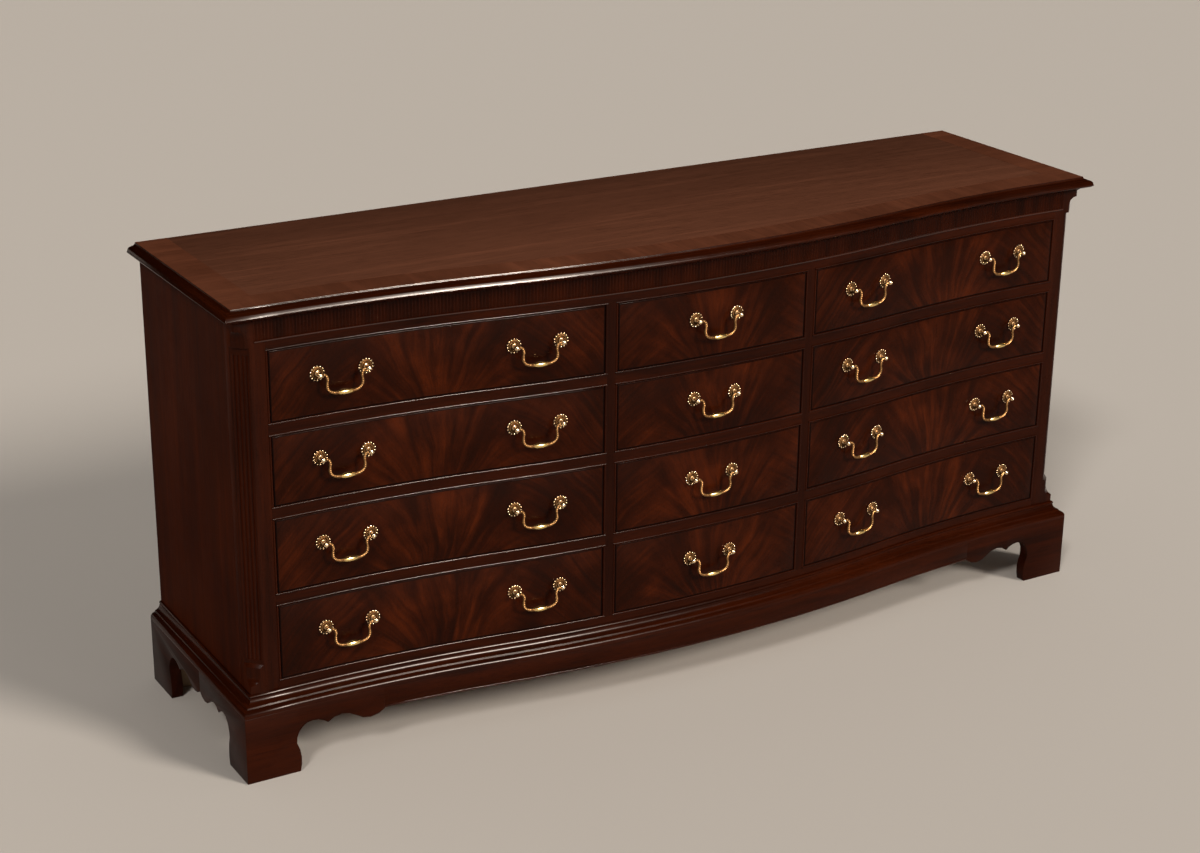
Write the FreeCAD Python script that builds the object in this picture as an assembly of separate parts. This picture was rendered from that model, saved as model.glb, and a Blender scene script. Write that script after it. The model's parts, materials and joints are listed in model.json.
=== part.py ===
import FreeCAD, Part
import math
import os

# Serpentine-front dresser with three columns of four drawers.
# X runs along the front, Y runs from the front (negative) to the back, Z is up.
# The origin lies on the floor under the centre of the top's outline.

# Overall sizes, mm
case_width = 1866.0
end_depth = 470.0
height = 870.0

# Plan of the front: flat ends, a hollow arc and a bowed centre
front_rise = 63.0
flat_end = 102.0
inflection_share = 0.52347

# Top
top_thickness = 18.0
veneer = 0.8
crossband_width = 60.0
top_arris_inset = 16.0
cove_top_drop = 2.2
cove_foot_inset = 8.9
cove_foot_drop = 5.6
ovolo_top_inset = 8.0
ovolo_top_drop = 6.6
lip_bead_height = 4.4
lip_quirk = 1.2
bed_height = 10.0
bed_lip_inset = 3.0
bed_fillet = 1.5

# Case
face_inset = 23.0
side_thickness = 19.0
back_thickness = 8.0
frame_depth = 45.0
post_width = 54.0
board = 10.0

# Front frame and drawer openings; the rows' heights are shares of their sum, from below
row_height_shares = [0.2626, 0.2570, 0.2402, 0.2402]
centre_opening = 410.0
divider_width = 17.0
short_rail_height = 17.5
top_rail_height = 13.5
bottom_rail_show = 12.0
bead_thickness = 3.5
bead_proud = 1.5

# Frieze
frieze_height = 44.0
frieze_thickness = 20.0
frieze_end_margin = 35.0
frieze_bead_height = 4.0
flute_pitch = 6.35
flute_depth = 1.6
frieze_back_chords = 24

# Canted corner posts
cant_plain = 18.0
cant_deep = 26.0
cant_stop_radius = 13.0
cant_foot_margin = 13.0
cant_head_margin = 23.0
field_margin = 32.0
post_flute_count = 4
post_flute_width = 6.2
post_flute_depth = 2.4
post_flute_pitch = 7.6
post_flute_margin = 14.0

# Drawers
drawer_side_gap = 1.5
drawer_top_gap = 1.5
drawer_bottom_gap = 0.5
drawer_front_thickness = 20.0
drawer_side_thickness = 10.0
drawer_side_drop = 8.0
drawer_back_drop = 12.0
drawer_bottom_thickness = 6.0
drawer_bottom_raise = 8.0
drawer_groove = 4.0
drawer_back_room = 17.0
glue_line = 0.05

# Interior
partition_thickness = 22.0
guide_height = 20.0
guide_gap = 1.0
stop_width = 40.0
stop_height = 5.0
stop_depth = 12.0
stop_offset = 60.0
stop_gap = 0.5
kicker_width = 50.0
kicker_height = 20.0

# Base
plinth_height = 127.0
base_board = 22.0
moulding_height = 36.0
apron_height = 41.0
apron_bead = 6.0
subrail_width = 40.0
subrail_height = 35.0
back_rail_height = 67.0
foot_wing = 266.0
side_front_wing = 220.0
bracket_width = 100.0
bracket_foot = 40.0

# Handles
boring = 88.9
handle_spread_share = 0.5766
handle_rise = 11.0
rosette_radius = 14.5
rosette_height = 3.2
rosette_dish_radius = 10.0
rosette_sides = 10
neck_radius = 2.6
head_radius = 4.6
head_length = 8.6
bail_reach = 15.5
bail_drop = 35.0
grip_radius = 4.7
pin_radius = 1.5
pin_bore = 2.2
pin_end_gap = 0.3
bore_depth = 3.6
handle_sides = 6
seat_gap = 0.05

# Rounds of the mouldings: bulge as a share of the chord, and flat facets for each
ovolo_bulge_share = 0.22
cove_bulge_share = 0.17
bead_bulge_share = 0.4
moulding_facets = 3
scallop_facets = 4
flatness = 0.001

# Worked out from the sizes above
overrun = 5.0 * top_thickness
half_width = case_width / 2
curve_half_span = half_width - flat_end
inflection_offset = curve_half_span * inflection_share
total_depth = end_depth + front_rise
back_y = total_depth / 2
end_y = back_y - end_depth
front_y_centre = end_y - front_rise
turn = 2 * math.atan(front_rise / curve_half_span)
bow_radius = inflection_offset / math.sin(turn)
hollow_radius = (curve_half_span - inflection_offset) / math.sin(turn)
hollow_y = end_y - hollow_radius
bow_y = front_y_centre + bow_radius
frame_back = end_y + face_inset + frame_depth
top_underside = height - top_thickness
case_half = half_width - face_inset
panel_inner = case_half - side_thickness
frame_half = case_half - post_width
half_centre = centre_opening / 2
side_in = half_centre + divider_width + 2 * bead_thickness
side_out = frame_half - bead_thickness
back_front = back_y - back_thickness
moulding_top = plinth_height + moulding_height
apron_low = plinth_height - apron_height
frieze_low = top_underside - frieze_height
frame_top = frieze_low - frieze_bead_height
cant_low = moulding_top + cant_foot_margin
cant_high = top_underside - cant_head_margin
field_low = cant_low + field_margin
field_high = cant_high - field_margin
drawer_back = back_front - drawer_back_room
vertical = FreeCAD.Vector(0, 0, 1)

columns = {
    "left": (-side_out, -side_in),
    "centre": (-half_centre, half_centre),
    "right": (side_in, side_out),
}


def opening_rows():
    """Low and high z of each row of openings, numbered from the top."""
    spacing = short_rail_height + 2 * bead_thickness
    low = moulding_top + bottom_rail_show + bead_thickness
    high = frame_top - top_rail_height - bead_thickness
    clear = high - low - spacing * (len(row_height_shares) - 1)
    found = []
    for share in row_height_shares:
        found.append((low, low + clear * share))
        low += clear * share + spacing
    found.reverse()
    return found


rows = opening_rows()


def point(x, y, z=0):
    return FreeCAD.Vector(x, y, z)


def box(x0, x1, y0, y1, z0, z1):
    return Part.makeBox(x1 - x0, y1 - y0, z1 - z0, point(x0, y0, z0))


def prism(points, direction):
    """Straight prism of a closed outline, along a vector."""
    outline = Part.makePolygon(points + [points[0]])
    return Part.Face(outline).extrude(direction)


def faceted(rings):
    """Solid with flat facets between rings of corners, closed at both ends."""
    faces = [Part.Face(Part.makePolygon(ring + [ring[0]])) for ring in (rings[0], rings[-1])]
    for near, far in zip(rings, rings[1:]):
        for index in range(len(near)):
            a, b = near[index - 1], near[index]
            c, d = far[index], far[index - 1]
            warp = abs((b - a).cross(d - a).dot(c - a))
            panes = [[a, b, c, d]] if warp < flatness else [[a, b, c], [a, c, d]]
            faces.extend(Part.Face(Part.makePolygon(pane + [pane[0]])) for pane in panes)
    solid = Part.Solid(Part.Shell(faces))
    if solid.Volume < 0:
        solid.reverse()
    return solid


def write(name, shapes):
    """One STEP file per node: a lone solid or a group of them."""
    solids = []
    for shape in shapes:
        solids.extend(shape.Solids)
    result = solids[0] if len(solids) == 1 else Part.makeCompound(solids)
    result.exportStep("parts/" + name + ".step")


# Front curve

def curve_joint(inset):
    """Where the hollow arc passes into the bow, on the right side."""
    radius = hollow_radius + inset
    x = curve_half_span - radius * math.sin(turn)
    y = hollow_y + radius * math.cos(turn)
    return x, y


def front_edges(inset, reach=0.0):
    """Edges of the front curve from left to right, set back by inset."""
    radius = hollow_radius + inset
    joint_x, joint_y = curve_joint(inset)
    mid_x = curve_half_span - radius * math.sin(turn / 2)
    mid_y = hollow_y + radius * math.cos(turn / 2)
    flat_y = end_y + inset
    end = half_width + reach
    flat_left = point(-curve_half_span, flat_y)
    flat_right = point(curve_half_span, flat_y)
    joint_left = point(-joint_x, joint_y)
    joint_right = point(joint_x, joint_y)
    crown = point(0, front_y_centre + inset)
    return [
        Part.makeLine(point(-end, flat_y), flat_left),
        Part.Arc(flat_left, point(-mid_x, mid_y), joint_left).toShape(),
        Part.Arc(joint_left, crown, joint_right).toShape(),
        Part.Arc(joint_right, point(mid_x, mid_y), flat_right).toShape(),
        Part.makeLine(flat_right, point(end, flat_y)),
    ]


def front_y(x, inset):
    """Y of the front curve at x, set back by inset."""
    joint_x, joint_y = curve_joint(inset)
    across = abs(x)
    if across <= joint_x:
        radius = bow_radius - inset
        return bow_y - math.sqrt(radius ** 2 - across ** 2)
    if across <= curve_half_span:
        radius = hollow_radius + inset
        return hollow_y + math.sqrt(radius ** 2 - (curve_half_span - across) ** 2)
    return end_y + inset


def front_turn(x, inset):
    """Angle in radians that the front's outward direction turns from -Y at x."""
    joint_x, joint_y = curve_joint(inset)
    across = abs(x)
    if across <= joint_x:
        angle = math.asin(across / (bow_radius - inset))
    elif across <= curve_half_span:
        angle = math.asin((curve_half_span - across) / (hollow_radius + inset))
    else:
        angle = 0.0
    return math.copysign(angle, x)


def on_curve(shape, x, inset, z=0):
    """Place a shape modelled at the origin, facing -Y, on the front curve."""
    placed = shape.copy()
    placed.rotate(point(0, 0), vertical, math.degrees(front_turn(x, inset)))
    placed.translate(point(x, front_y(x, inset), z))
    return placed


def band(inset_a, inset_b, x0, x1, z0, z1):
    """Board that follows the front curve between two insets."""
    front = front_edges(inset_a, overrun)
    back = front_edges(inset_b, overrun)
    end = half_width + overrun
    closing_right = Part.makeLine(point(end, end_y + inset_a), point(end, end_y + inset_b))
    closing_left = Part.makeLine(point(-end, end_y + inset_b), point(-end, end_y + inset_a))
    edges = front + [closing_right] + back + [closing_left]
    outline = Part.Wire(Part.__sortEdges__(edges))
    solid = Part.Face(outline).extrude(point(0, 0, z1 - z0))
    solid.translate(point(0, 0, z0))
    return solid.common(box(x0, x1, front_y_centre - overrun, back_y, z0, z1))


def slab(inset, y1, x0, x1, z0, z1):
    """Board from the front curve, set back by inset, to a straight back."""
    end = half_width + overrun
    edges = front_edges(inset, overrun)
    edges.append(Part.makeLine(point(end, end_y + inset), point(end, y1)))
    edges.append(Part.makeLine(point(end, y1), point(-end, y1)))
    edges.append(Part.makeLine(point(-end, y1), point(-end, end_y + inset)))
    outline = Part.Wire(Part.__sortEdges__(edges))
    solid = Part.Face(outline).extrude(point(0, 0, z1 - z0))
    solid.translate(point(0, 0, z0))
    return solid.common(box(x0, x1, front_y_centre - overrun, y1, z0, z1))


def plank(inset, y1, x0, x1, z0, z1):
    """Narrow board whose front end is cut straight between two places on the curve."""
    return prism([
        point(x0, front_y(x0, inset), z0),
        point(x1, front_y(x1, inset), z0),
        point(x1, y1, z0),
        point(x0, y1, z0),
    ], point(0, 0, z1 - z0))


# Mouldings that run along the front and both sides

def profile_face(profile, place, facets=moulding_facets):
    """Face of a closed profile. A step is a corner, or a pair of places for an arc.

    The function place turns each of them into a point.
    """
    corners = [place(*profile[0])]
    for step in profile[1:]:
        if isinstance(step[0], tuple):
            middle, end = (place(*spot) for spot in step)
            arc = Part.Arc(corners[-1], middle, end).toShape()
            corners.extend(arc.discretize(facets + 1)[1:])
        else:
            corners.append(place(*step))
    return Part.Face(Part.makePolygon(corners + [corners[0]]))


def rounded(start, end, bulge_share):
    """Arc step to end, whose bulge to the left of the way is a share of its length."""
    run = end[0] - start[0]
    rise = end[1] - start[1]
    middle = (
        (start[0] + end[0]) / 2 - rise * bulge_share,
        (start[1] + end[1]) / 2 + run * bulge_share,
    )
    return middle, end


def curved_run(profile):
    """Moulding along the whole front, uncut at its ends."""
    turn_degrees = math.degrees(turn)
    crown = profile_face(profile, lambda inset, z: point(0, front_y_centre + inset, z))
    axis = point(0, bow_y)
    crown.rotate(axis, vertical, -turn_degrees)
    pieces = [crown.revolve(axis, vertical, 2 * turn_degrees)]
    for side in (-1, 1):
        x = side * curve_half_span
        face = profile_face(profile, lambda inset, z: point(x, end_y + inset, z))
        pieces.append(face.revolve(point(x, hollow_y), vertical, side * turn_degrees))
        pieces.append(face.extrude(point(side * (half_width - curve_half_span), 0)))
    return pieces[0].fuse(pieces[1:]).removeSplitter()


def mitre_spaces(reach):
    """The space of the front run and of the two side runs, parted at the mitres."""
    z0 = -overrun
    rise = point(0, 0, height + 2 * overrun)
    inner_x = half_width - reach
    inner_y = end_y + reach
    front_line = front_y_centre - overrun
    front = prism([
        point(-half_width, front_line, z0),
        point(half_width, front_line, z0),
        point(half_width, end_y, z0),
        point(inner_x, inner_y, z0),
        point(-inner_x, inner_y, z0),
        point(-half_width, end_y, z0),
    ], rise)
    sides = []
    for side in (-1, 1):
        sides.append(prism([
            point(side * half_width, end_y, z0),
            point(side * inner_x, inner_y, z0),
            point(side * inner_x, back_y, z0),
            point(side * half_width, back_y, z0),
        ], rise))
    return front, sides


def moulding(profile, reach):
    """Front, left and right lengths of a moulding, mitred at the corners."""
    front_space, side_spaces = mitre_spaces(reach)
    lengths = [curved_run(profile).common(front_space)]
    for side, space in zip((-1, 1), side_spaces):
        face = profile_face(profile, lambda inset, z: point(side * (half_width - inset), end_y, z))
        lengths.append(face.extrude(point(0, end_depth)).common(space))
    return lengths


# Top

def top_edge_profile(inner):
    """Lip bead, ovolo, fillet and cove of the top's edge, from below."""
    bead_foot = (lip_quirk, top_underside)
    bead_head = (lip_quirk, top_underside + lip_bead_height)
    ovolo_head = (ovolo_top_inset, height - ovolo_top_drop)
    cove_foot = (cove_foot_inset, height - cove_foot_drop)
    cove_head = (top_arris_inset, height - cove_top_drop)
    return [
        (inner, top_underside),
        bead_foot,
        rounded(bead_foot, bead_head, lip_quirk / lip_bead_height),
        rounded(bead_head, ovolo_head, ovolo_bulge_share),
        cove_foot,
        rounded(cove_foot, cove_head, -cove_bulge_share),
        (top_arris_inset, height - veneer),
        (inner, height - veneer),
    ]


def top_board():
    inner = top_arris_inset + crossband_width
    lengths = moulding(top_edge_profile(inner), inner)
    core = slab(inner, back_y, inner - half_width, half_width - inner, top_underside, height)
    return core.fuse(lengths).removeSplitter()


def crossband():
    """Border of the top, laid in three lengths mitred at the front corners."""
    inner = top_arris_inset + crossband_width
    low = height - veneer
    strip = [(top_arris_inset, low), (inner, low), (inner, height), (top_arris_inset, height)]
    return moulding(strip, inner)


def bed_moulding():
    """Cove under the lip of the top."""
    low = top_underside - bed_height
    cove_head = (bed_lip_inset, top_underside - bed_fillet)
    cove_foot = (face_inset - bed_fillet, low)
    profile = [
        (face_inset, low),
        (face_inset, top_underside),
        (bed_lip_inset, top_underside),
        cove_head,
        rounded(cove_head, cove_foot, cove_bulge_share),
    ]
    return moulding(profile, face_inset)


# Frieze

def frieze_face_points():
    """Zigzag of the flutes along the front curve, from left to right."""
    half = case_half - frieze_end_margin
    count = round(2 * half / flute_pitch)
    step = 2 * half / count
    points = []
    for index in range(count):
        land = -half + index * step
        valley = land + step / 2
        points.append(point(land, front_y(land, face_inset), frieze_low))
        points.append(point(valley, front_y(valley, face_inset + flute_depth), frieze_low))
    points.append(point(half, front_y(half, face_inset), frieze_low))
    return points


def frieze_back_points(half):
    """Plain back of the frieze, in chords, from right to left."""
    points = []
    for index in range(frieze_back_chords + 1):
        x = half - 2 * half * index / frieze_back_chords
        points.append(point(x, front_y(x, face_inset + frieze_thickness), frieze_low))
    return points


def frieze():
    half = case_half - frieze_end_margin
    outline = frieze_face_points() + frieze_back_points(half)
    fluted = prism(outline, point(0, 0, top_underside - frieze_low))
    inner = face_inset + frieze_thickness
    nose = frieze_bead_height / 2
    profile = [
        (inner, frame_top),
        (face_inset, frame_top),
        ((face_inset - nose, frame_top + nose), (face_inset, frieze_low)),
        (inner, frieze_low),
    ]
    bead = curved_run(profile)
    bead = bead.common(box(-half, half, front_y_centre, back_y, frame_top, frieze_low))
    return [fluted, bead]


# Front frame

def rail(x0, x1, z0, z1):
    return slab(face_inset, frame_back, x0, x1, z0, z1)


def front_frame():
    """Two long rails, two dividers between them and the short rails of each column."""
    highest = rows[0][1] + bead_thickness
    lowest = rows[-1][0] - bead_thickness
    solids = [
        rail(-frame_half, frame_half, highest, frame_top),
        rail(-frame_half, frame_half, plinth_height, lowest),
    ]
    for side in (-1, 1):
        x0, x1 = sorted((
            side * (half_centre + bead_thickness),
            side * (side_in - bead_thickness),
        ))
        solids.append(plank(face_inset, frame_back, x0, x1, lowest, highest))
    for x0, x1 in columns.values():
        left = x0 - bead_thickness
        right = x1 + bead_thickness
        for upper, lower in zip(rows, rows[1:]):
            low = lower[1] + bead_thickness
            high = upper[0] - bead_thickness
            solids.append(rail(left, right, low, high))
    return solids


def cock_beads():
    """Four strips line each opening: two long ones and two uprights between them."""
    outer = face_inset - bead_proud
    strips = []
    for x0, x1 in columns.values():
        left = x0 - bead_thickness
        right = x1 + bead_thickness
        for z0, z1 in rows:
            strips.append(slab(outer, frame_back, left, right, z1, z1 + bead_thickness))
            strips.append(slab(outer, frame_back, left, right, z0 - bead_thickness, z0))
            strips.append(plank(outer, frame_back, left, x0, z0, z1))
            strips.append(plank(outer, frame_back, x1, right, z0, z1))
    return strips


# Corner posts

def cant_cutter(leg, outline):
    """Wedge that cants the right front arris; outline is in (out, z), 0 being the cant."""
    reach = leg + frame_depth
    arris = point(case_half, end_y + face_inset)
    inward = point(-1, 1).normalize()
    along = point(1, 1).normalize()
    depth = leg / math.sqrt(2)

    def place(out, z):
        spot = arris + inward * (depth - out) - along * reach
        return point(spot.x, spot.y, z)

    return profile_face(outline, place).extrude(along * (2 * reach))


def plain_cant():
    """Shallow cant with a round stop at either end."""
    stop = cant_stop_radius
    bend = stop * (1 - math.sqrt(1 / 2))
    outline = [
        (overrun, cant_low),
        (overrun, cant_high),
        (stop, cant_high),
        ((bend, cant_high - bend), (0, cant_high - stop)),
        (0, cant_low + stop),
        ((bend, cant_low + bend), (stop, cant_low)),
    ]
    return cant_cutter(cant_plain, outline)


def deep_cant():
    """Field of the flutes, deeper than the plain cant, with a sloping foot."""
    slope = (cant_deep - cant_plain) / math.sqrt(2)
    outline = [
        (overrun, field_low - overrun + slope),
        (overrun, field_high),
        (0, field_high),
        (0, field_low + slope),
        (slope, field_low),
    ]
    return cant_cutter(cant_deep, outline)


def post_flutes():
    """Vee flutes sunk in the deep cant of the right post."""
    centre = point(case_half - cant_deep / 2, end_y + face_inset + cant_deep / 2)
    along = point(1, 1).normalize()
    inward = point(-1, 1).normalize()
    low = field_low + post_flute_margin
    length = field_high - post_flute_margin - low
    tools = []
    for index in range(post_flute_count):
        spot = centre + along * ((index - (post_flute_count - 1) / 2) * post_flute_pitch)
        spot.z = low
        half = along * (post_flute_width / 2)
        corners = [spot - half, spot + half, spot + inward * post_flute_depth]
        tools.append(prism(corners, vertical * length))
    return tools


def right_post():
    y0 = end_y + face_inset
    solid = box(frame_half, case_half, y0, frame_back, plinth_height, top_underside)
    half = case_half - frieze_end_margin
    rebate = box(frame_half, half, y0, y0 + frieze_thickness, frame_top, top_underside)
    return solid.cut([rebate, plain_cant(), deep_cant()] + post_flutes())


# Inside of the case

def side_panels():
    panels = []
    for side in (-1, 1):
        x0, x1 = sorted((side * panel_inner, side * case_half))
        panels.append(box(x0, x1, frame_back, back_y, plinth_height, top_underside))
    return panels


def back_panel():
    return box(-panel_inner, panel_inner, back_front, back_y, plinth_height, top_underside)


def partition_faces():
    centre = (half_centre + side_in) / 2
    return centre - partition_thickness / 2, centre + partition_thickness / 2


def partitions():
    inner, outer = partition_faces()
    solids = []
    for side in (-1, 1):
        x0, x1 = sorted((side * inner, side * outer))
        solids.append(box(x0, x1, frame_back, back_front, plinth_height, top_underside))
    return solids


def bay_edges():
    """Clear width between the uprights of the case, for each column."""
    inner, outer = partition_faces()
    return [(-panel_inner, -outer), (-inner, inner), (outer, panel_inner)]


def dust_boards():
    solids = []
    for x0, x1 in bay_edges():
        for low, high in rows:
            solids.append(box(x0, x1, frame_back, back_front, low - board, low))
    return solids


def drawer_guides():
    """Battens beside the outer drawers, against the side panels."""
    solids = []
    for side in (-1, 1):
        x0, x1 = sorted((side * (side_out + guide_gap), side * panel_inner))
        for low, high in rows:
            solids.append(box(x0, x1, frame_back, back_front, low, low + guide_height))
    return solids


def drawer_stops():
    """Blocks on the rails that meet the inner face of each drawer front."""
    inset = face_inset + drawer_front_thickness
    half = stop_width / 2
    solids = []
    for x0, x1 in columns.values():
        for low, high in rows:
            for x in (x0 + stop_offset, x1 - stop_offset):
                block = box(-half, half, stop_gap, stop_gap + stop_depth, low, low + stop_height)
                solids.append(on_curve(block, x, inset))
    return solids


def kickers():
    """Strips over the top drawers, which stop them tipping when pulled out."""
    low = rows[0][1]
    solids = []
    for x0, x1 in bay_edges():
        for start in (x0, x1 - kicker_width):
            end = start + kicker_width
            solids.append(box(start, end, frame_back, back_front, low, low + kicker_height))
    return solids


# Drawers

def drawer(column, row):
    """Front, two sides, back and bottom of one drawer, pushed home."""
    x0, x1 = columns[column]
    z0, z1 = rows[row]
    left = x0 + drawer_side_gap
    right = x1 - drawer_side_gap
    low = z0 + drawer_bottom_gap
    high = z1 - drawer_top_gap
    inset = face_inset + drawer_front_thickness
    groove_low = low + drawer_bottom_raise
    groove_high = groove_low + drawer_bottom_thickness
    inner_left = left + drawer_side_thickness
    inner_right = right - drawer_side_thickness
    panel_left = inner_left - drawer_groove
    panel_right = inner_right + drawer_groove
    panel = slab(inset, drawer_back, panel_left, panel_right, groove_low, groove_high)
    side_high = high - drawer_side_drop
    front = band(face_inset, inset, left, right, low, high)
    butt = inset + glue_line
    left_side = plank(butt, drawer_back, left, inner_left, low, side_high).cut(panel)
    right_side = plank(butt, drawer_back, inner_right, right, low, side_high).cut(panel)
    back_low = drawer_back - drawer_side_thickness
    back_high = high - drawer_back_drop
    back = box(inner_left, inner_right, back_low, drawer_back, groove_high, back_high)
    return [front, left_side, right_side, back, panel]


# Handles

def handle_places(column, row):
    """X and z of each handle on a drawer."""
    x0, x1 = columns[column]
    z0, z1 = rows[row]
    middle = (x0 + x1) / 2
    z = (z0 + z1) / 2 + handle_rise
    if column == "centre":
        return [(middle, z)]
    half_spread = (x1 - x0) * handle_spread_share / 2
    return [(middle - half_spread, z), (middle + half_spread, z)]


def recession(x, across, inset):
    """How far the curve at x has fallen back from its tangent, at a distance across."""
    if abs(x) <= curve_joint(inset)[0]:
        return across ** 2 / (2 * (bow_radius - inset))
    return -across ** 2 / (2 * (hollow_radius + inset))


def seat_height(x):
    """Distance out at which the rosettes just clear the curved drawer face."""
    reaches = (boring / 2 - rosette_radius, boring / 2 + rosette_radius)
    return seat_gap - min(recession(x, reach, face_inset) for reach in reaches)


def ring(sides, radius, out, centre_x=0):
    """Corners round the outward axis, at a distance out from the face."""
    corners = []
    for index in range(sides):
        angle = 2 * math.pi * (index + 1 / 2) / sides
        corners.append(point(centre_x + radius * math.cos(angle), -out, radius * math.sin(angle)))
    return corners


def rosette(side, seat):
    """Round plate that rises from its rim to a smaller dish."""
    x = side * boring / 2
    return faceted([
        ring(rosette_sides, rosette_radius, seat, x),
        ring(rosette_sides, rosette_dish_radius, seat + rosette_height, x),
    ])


def bore_mouth():
    """Distance from the middle of the handle to the face of the post that the pin enters."""
    return boring / 2 - head_radius * math.cos(math.pi / handle_sides)


def post(side, seat):
    """Neck and swelling head, with a blind hole on the inner side for the bail's pin."""
    x = side * boring / 2
    half = head_length / 2
    body = faceted([
        ring(handle_sides, neck_radius, seat + rosette_height, x),
        ring(handle_sides, head_radius, bail_reach - half, x),
        ring(handle_sides, head_radius, bail_reach + half, x),
    ])
    mouth = side * bore_mouth()
    corners = []
    for index in range(handle_sides):
        angle = 2 * math.pi * index / handle_sides
        lift = pin_bore * math.sin(angle)
        out = bail_reach + pin_bore * math.cos(angle)
        corners.append(point(mouth - side * bore_depth, -out, lift))
    return body.cut(prism(corners, point(side * 2 * bore_depth, 0)))


def handle_mounts(column, row):
    solids = []
    for x, z in handle_places(column, row):
        seat = seat_height(x)
        for side in (-1, 1):
            for piece in (rosette(side, seat), post(side, seat)):
                solids.append(on_curve(piece, x, face_inset, z))
    return solids


# Half a bail from its elbow to the end of the grip: shares of half the boring
# across, of the drop down and of the grip's radius.
bail_path_shares = [
    (0.80, 0, 0.42),
    (0.71, 0.28, 0.42),
    (0.74, 0.56, 0.44),
    (0.66, 0.82, 0.50),
    (0.36, 0.98, 0.60),
]


def bail_stations():
    """Stations of half the bail, from the pin's end: across, down and radius."""
    half = boring / 2
    stations = [(bore_mouth() + bore_depth - pin_end_gap, 0, pin_radius)]
    for across_share, down_share, radius_share in bail_path_shares:
        stations.append((half * across_share, bail_drop * down_share, grip_radius * radius_share))
    return stations


def section_at(station, before, after):
    """Corners of the wire's section, square to the path through its neighbours."""
    across, down, radius = station
    run_x = after[0] - before[0]
    run_z = before[1] - after[1]
    length = math.hypot(run_x, run_z)
    normal_x = -run_z / length
    normal_z = run_x / length
    corners = []
    for index in range(handle_sides):
        angle = 2 * math.pi * index / handle_sides
        lift = radius * math.cos(angle)
        out = bail_reach + radius * math.sin(angle)
        corners.append(point(across + normal_x * lift, -out, -down + normal_z * lift))
    return corners


def bail():
    """Swan-neck bail: two level pins, two bent arms and a swelling grip."""
    left = [(-across, down, radius) for across, down, radius in bail_stations()]
    middle = [(0, bail_drop, grip_radius)]
    right = [(across, down, radius) for across, down, radius in reversed(bail_stations())]
    path = left + middle + right
    sections = []
    for index, station in enumerate(path):
        before = path[max(index - 1, 0)]
        after = path[min(index + 1, len(path) - 1)]
        sections.append(section_at(station, before, after))
    return faceted(sections)


# Base

def base_moulding():
    """Ovolo and cove round the foot of the case, under a small bead."""
    place_shares = {
        "ovolo_foot": (0, 0.055),
        "ovolo_head": (0.38, 0.38),
        "cove_foot": (0.42, 0.46),
        "cove_head": (0.85, 0.78),
        "bead_head": (1, 0.95),
    }
    spot = {
        name: (face_inset * across, plinth_height + moulding_height * up)
        for name, (across, up) in place_shares.items()
    }
    profile = [
        (face_inset, plinth_height),
        (0, plinth_height),
        spot["ovolo_foot"],
        rounded(spot["ovolo_foot"], spot["ovolo_head"], ovolo_bulge_share),
        spot["cove_foot"],
        rounded(spot["cove_foot"], spot["cove_head"], -cove_bulge_share),
        rounded(spot["cove_head"], spot["bead_head"], bead_bulge_share),
    ]
    return moulding(profile, face_inset)


def apron():
    """Straight middle of the front base board, with a bead on its lower edge."""
    half = half_width - foot_wing
    bead_high = apron_low + apron_bead
    board_solid = band(0, base_board, -half, half, bead_high, plinth_height)
    nose = apron_bead / 2
    profile = [
        (base_board, apron_low),
        (nose, apron_low),
        ((0, apron_low + nose), (nose, bead_high)),
        (base_board, bead_high),
    ]
    strip = curved_run(profile).common(box(-half, half, front_y_centre, back_y, 0, plinth_height))
    return [board_solid, strip]


def base_rails():
    """Frame inside the base boards, which carries the case."""
    low = plinth_height - subrail_height
    inner_half = half_width - base_board
    behind_front = end_y + base_board + subrail_width
    rails = [slab(base_board, behind_front, -inner_half, inner_half, low, plinth_height)]
    back_low = plinth_height - back_rail_height
    before_back = back_y - base_board
    rails.append(box(-inner_half, inner_half, before_back, back_y, back_low, plinth_height))
    for side in (-1, 1):
        x0, x1 = sorted((side * inner_half, side * (inner_half - subrail_width)))
        rails.append(box(x0, x1, behind_front, before_back, low, plinth_height))
        x0, x1 = sorted(side * face for face in partition_faces())
        rails.append(box(x0, x1, behind_front, before_back, low, plinth_height))
    return rails


def wing_outline(length, place):
    """Face cut away under a wing: the foot's inner edge, two lobes and a drooping tip.

    The function place turns (along, z) into a point.
    """
    outline_shares = {
        "toe": (0.38, 0),
        "ankle": (0.392, 0.17),
        "waist": (0.362, 0.45),
        "shin": (0.38, 0.62),
        "shoulder": (0.44, 0.735),
        "lobe": (0.50, 0.745),
        "cusp": (0.588, 0.66),
        "crest": (0.69, 0.74),
        "slope": (0.79, 0.665),
        "tip": (0.885, 0.59),
    }
    spot = {
        name: (length * along, plinth_height * up)
        for name, (along, up) in outline_shares.items()
    }
    profile = [
        spot["toe"],
        (spot["ankle"], spot["waist"]),
        (spot["shin"], spot["shoulder"]),
        (spot["lobe"], spot["cusp"]),
        (spot["crest"], spot["slope"]),
        (spot["tip"], (length, apron_low)),
        (length, 0),
    ]
    return profile_face(profile, place, scallop_facets)


def glue_block(side, y0):
    inner = half_width - base_board
    x0, x1 = sorted((side * inner, side * (inner - subrail_width)))
    return box(x0, x1, y0, y0 + subrail_width, 0, plinth_height - subrail_height)


def side_wing(side, y0, y1, length, corner_y):
    """Board along the side of the case, scalloped from a foot at corner_y."""
    x0, x1 = sorted((side * half_width, side * (half_width - base_board)))
    wing = box(x0, x1, y0, y1, 0, plinth_height)
    step = 1 if corner_y < (y0 + y1) / 2 else -1
    below = wing_outline(length, lambda along, z: point(x0, corner_y + step * along, z))
    return wing.cut(below.extrude(point(base_board, 0)))


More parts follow.
